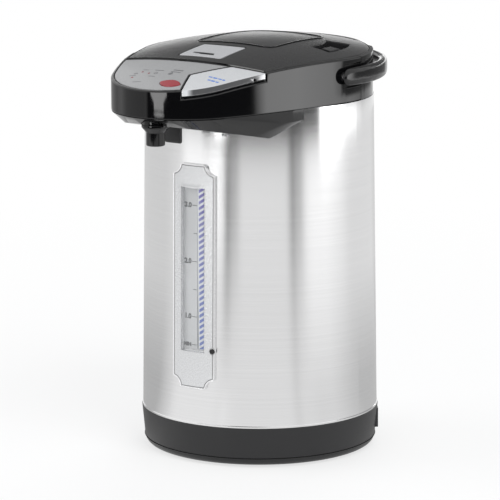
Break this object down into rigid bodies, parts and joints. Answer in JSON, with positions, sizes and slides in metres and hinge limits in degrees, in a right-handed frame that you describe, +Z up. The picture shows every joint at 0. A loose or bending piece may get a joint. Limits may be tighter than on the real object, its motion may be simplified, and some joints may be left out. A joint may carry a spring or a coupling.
{
  "type": "electric thermo pot",
  "caption": "Electric thermo pot: brushed steel body on a black base, domed black head with spout nose, hinged lid, pump plate, water gauge and bail handle.",
  "frame": {"origin": "on the body's axis, at the level of the surface the pot stands on", "axes": "+Z up, -Y towards the front with the spout, +Y towards the lid's hinge, +X towards the side with the dispense key"},
  "size_m": [0.2004, 0.2707, 0.3365],
  "materials": {
    "black_gloss_plastic": "glossy injection-moulded black plastic",
    "black_satin_plastic": "satin black plastic, fine grain",
    "handle_plastic": "black plastic, soft gloss",
    "brushed_steel": "vertical brushing, soft satin",
    "pot_steel": "drawn stainless steel, satin",
    "silver_plastic": "silver-painted plastic, fine metallic flake",
    "chrome_plastic": "plated plastic, mirror bright",
    "red_plastic": "glossy red plastic",
    "clear_plastic": "clear window, faint grey tint",
    "tube_plastic": "clear tube",
    "white_scale": "pale scale strip",
    "silicone": "translucent white silicone rubber",
    "dark_rubber": "dark non-slip rubber",
    "white_plastic": "natural white plastic",
    "dark_plastic": "dark heat-resistant plastic",
    "aluminium_cast": "die-cast aluminium",
    "board_green": "green circuit board",
    "screw_steel": "zinc-plated steel",
    "terminal_brass": "tinned brass",
    "wire_red": "red insulated wires in a sleeve"
  },
  "bodies": {
    "housing": {"base_housing": "black_satin_plastic", "bottom_cover": "black_satin_plastic", "anti_slip_ring": "dark_rubber", "bottom_screws": "screw_steel", "inlet_socket": "dark_plastic", "inlet_pins": "terminal_brass", "outer_shell": "brushed_steel", "gauge_frame": "silver_plastic", "gauge_window": "clear_plastic", "level_scale": "white_scale", "gauge_screw": "screw_steel", "inner_pot": "pot_steel", "pot_seal": "silicone", "pot_support_ring": "dark_plastic", "heater_plate": "aluminium_cast", "thermostats": "aluminium_cast", "pump_housing": "white_plastic", "pump_motor": "screw_steel", "motor_bracket": "dark_plastic", "suction_hose": "silicone", "lower_hose": "silicone", "level_tube": "tube_plastic", "spout_hose": "silicone", "spout_nozzle": "black_gloss_plastic", "power_board": "board_green", "board_components": "dark_plastic", "wire_loom": "wire_red", "head_housing": "black_gloss_plastic", "rear_collar": "black_gloss_plastic", "chin_cover": "black_gloss_plastic", "chin_screws": "screw_steel", "fascia_panel": "silver_plastic", "control_board": "board_green", "panel_switches": "dark_plastic", "key_pin": "screw_steel", "key_spring": "screw_steel", "button_spring": "screw_steel", "cup_lever_pin": "screw_steel", "cup_switch": "dark_plastic", "hinge_pin": "screw_steel", "handle_pivots": "screw_steel"},
    "impeller": {"pump_impeller": "white_plastic"},
    "key": {"dispense_key": "silver_plastic"},
    "button": {"red_button": "red_plastic"},
    "cup_lever": {"cup_lever": "black_satin_plastic"},
    "lid": {"lid_outer": "black_satin_plastic", "lid_inner": "pot_steel", "lid_gasket": "silicone", "lever_pin": "screw_steel", "pump_bellows": "silicone", "pump_spring": "screw_steel"},
    "lever": {"lid_lever": "silver_plastic"},
    "latch": {"lid_latch": "screw_steel"},
    "plate": {"pump_plate": "black_gloss_plastic"},
    "lock": {"pump_lock": "dark_plastic"},
    "handle": {"handle": "handle_plastic"}
  },
  "joints": [
    {"name": "lid_hinge", "type": "hinge", "parent": "housing", "child": "lid", "pos_m": [0, 0.079, 0.325], "axis": [-1, 0, 0], "range_deg": [0, 95]},
    {"name": "lever_hinge", "type": "hinge", "parent": "lid", "child": "lever", "pos_m": [0, -0.0516, 0.3313], "axis": [-1, 0, 0], "range_deg": [0, 35], "stiffness_Nm_per_rad": 0.05, "springref_deg": -22.92},
    {"name": "latch_slide", "type": "slide", "parent": "lid", "child": "latch", "axis": [0, 1, 0], "range_m": [0, 0.004]},
    {"name": "plate_slide", "type": "slide", "parent": "lid", "child": "plate", "axis": [0, 0, -1], "range_m": [0, 0.012], "stiffness_N_per_m": 400, "springref_m": -0.01, "deforming": ["pump_bellows", "pump_spring"]},
    {"name": "lock_turn", "type": "hinge", "parent": "lid", "child": "lock", "pos_m": [0, 0, 0.33], "axis": [0, 0, 1], "range_deg": [0, 18]},
    {"name": "handle_pivot", "type": "hinge", "parent": "housing", "child": "handle", "pos_m": [0, -0.015, 0.312], "axis": [1, 0, 0], "range_deg": [0, 95]},
    {"name": "key_hinge", "type": "hinge", "parent": "housing", "child": "key", "pos_m": [0, -0.103, 0.318], "axis": [1, 0, 0], "range_deg": [0, 1.5], "stiffness_Nm_per_rad": 1.2, "springref_deg": -2.86, "deforming": ["key_spring"]},
    {"name": "button_slide", "type": "slide", "parent": "housing", "child": "button", "axis": [0, 0, -1], "range_m": [0, 0.0012], "stiffness_N_per_m": 400, "springref_m": -0.002, "deforming": ["button_spring"]},
    {"name": "cup_lever_hinge", "type": "hinge", "parent": "housing", "child": "cup_lever", "pos_m": [0, -0.122, 0.28264], "axis": [1, 0, 0], "range_deg": [0, 12], "stiffness_Nm_per_rad": 0.02, "springref_deg": -11.46},
    {"name": "impeller_spin", "type": "hinge", "parent": "housing", "child": "impeller", "pos_m": [0.0065, -0.046, 0.043], "axis": [0, 0, 1], "continuous": true}
  ],
  "couplings": [
    {"joint": "latch_slide", "follows": "lever_hinge", "m_per_rad": 0.0065}
  ]
}
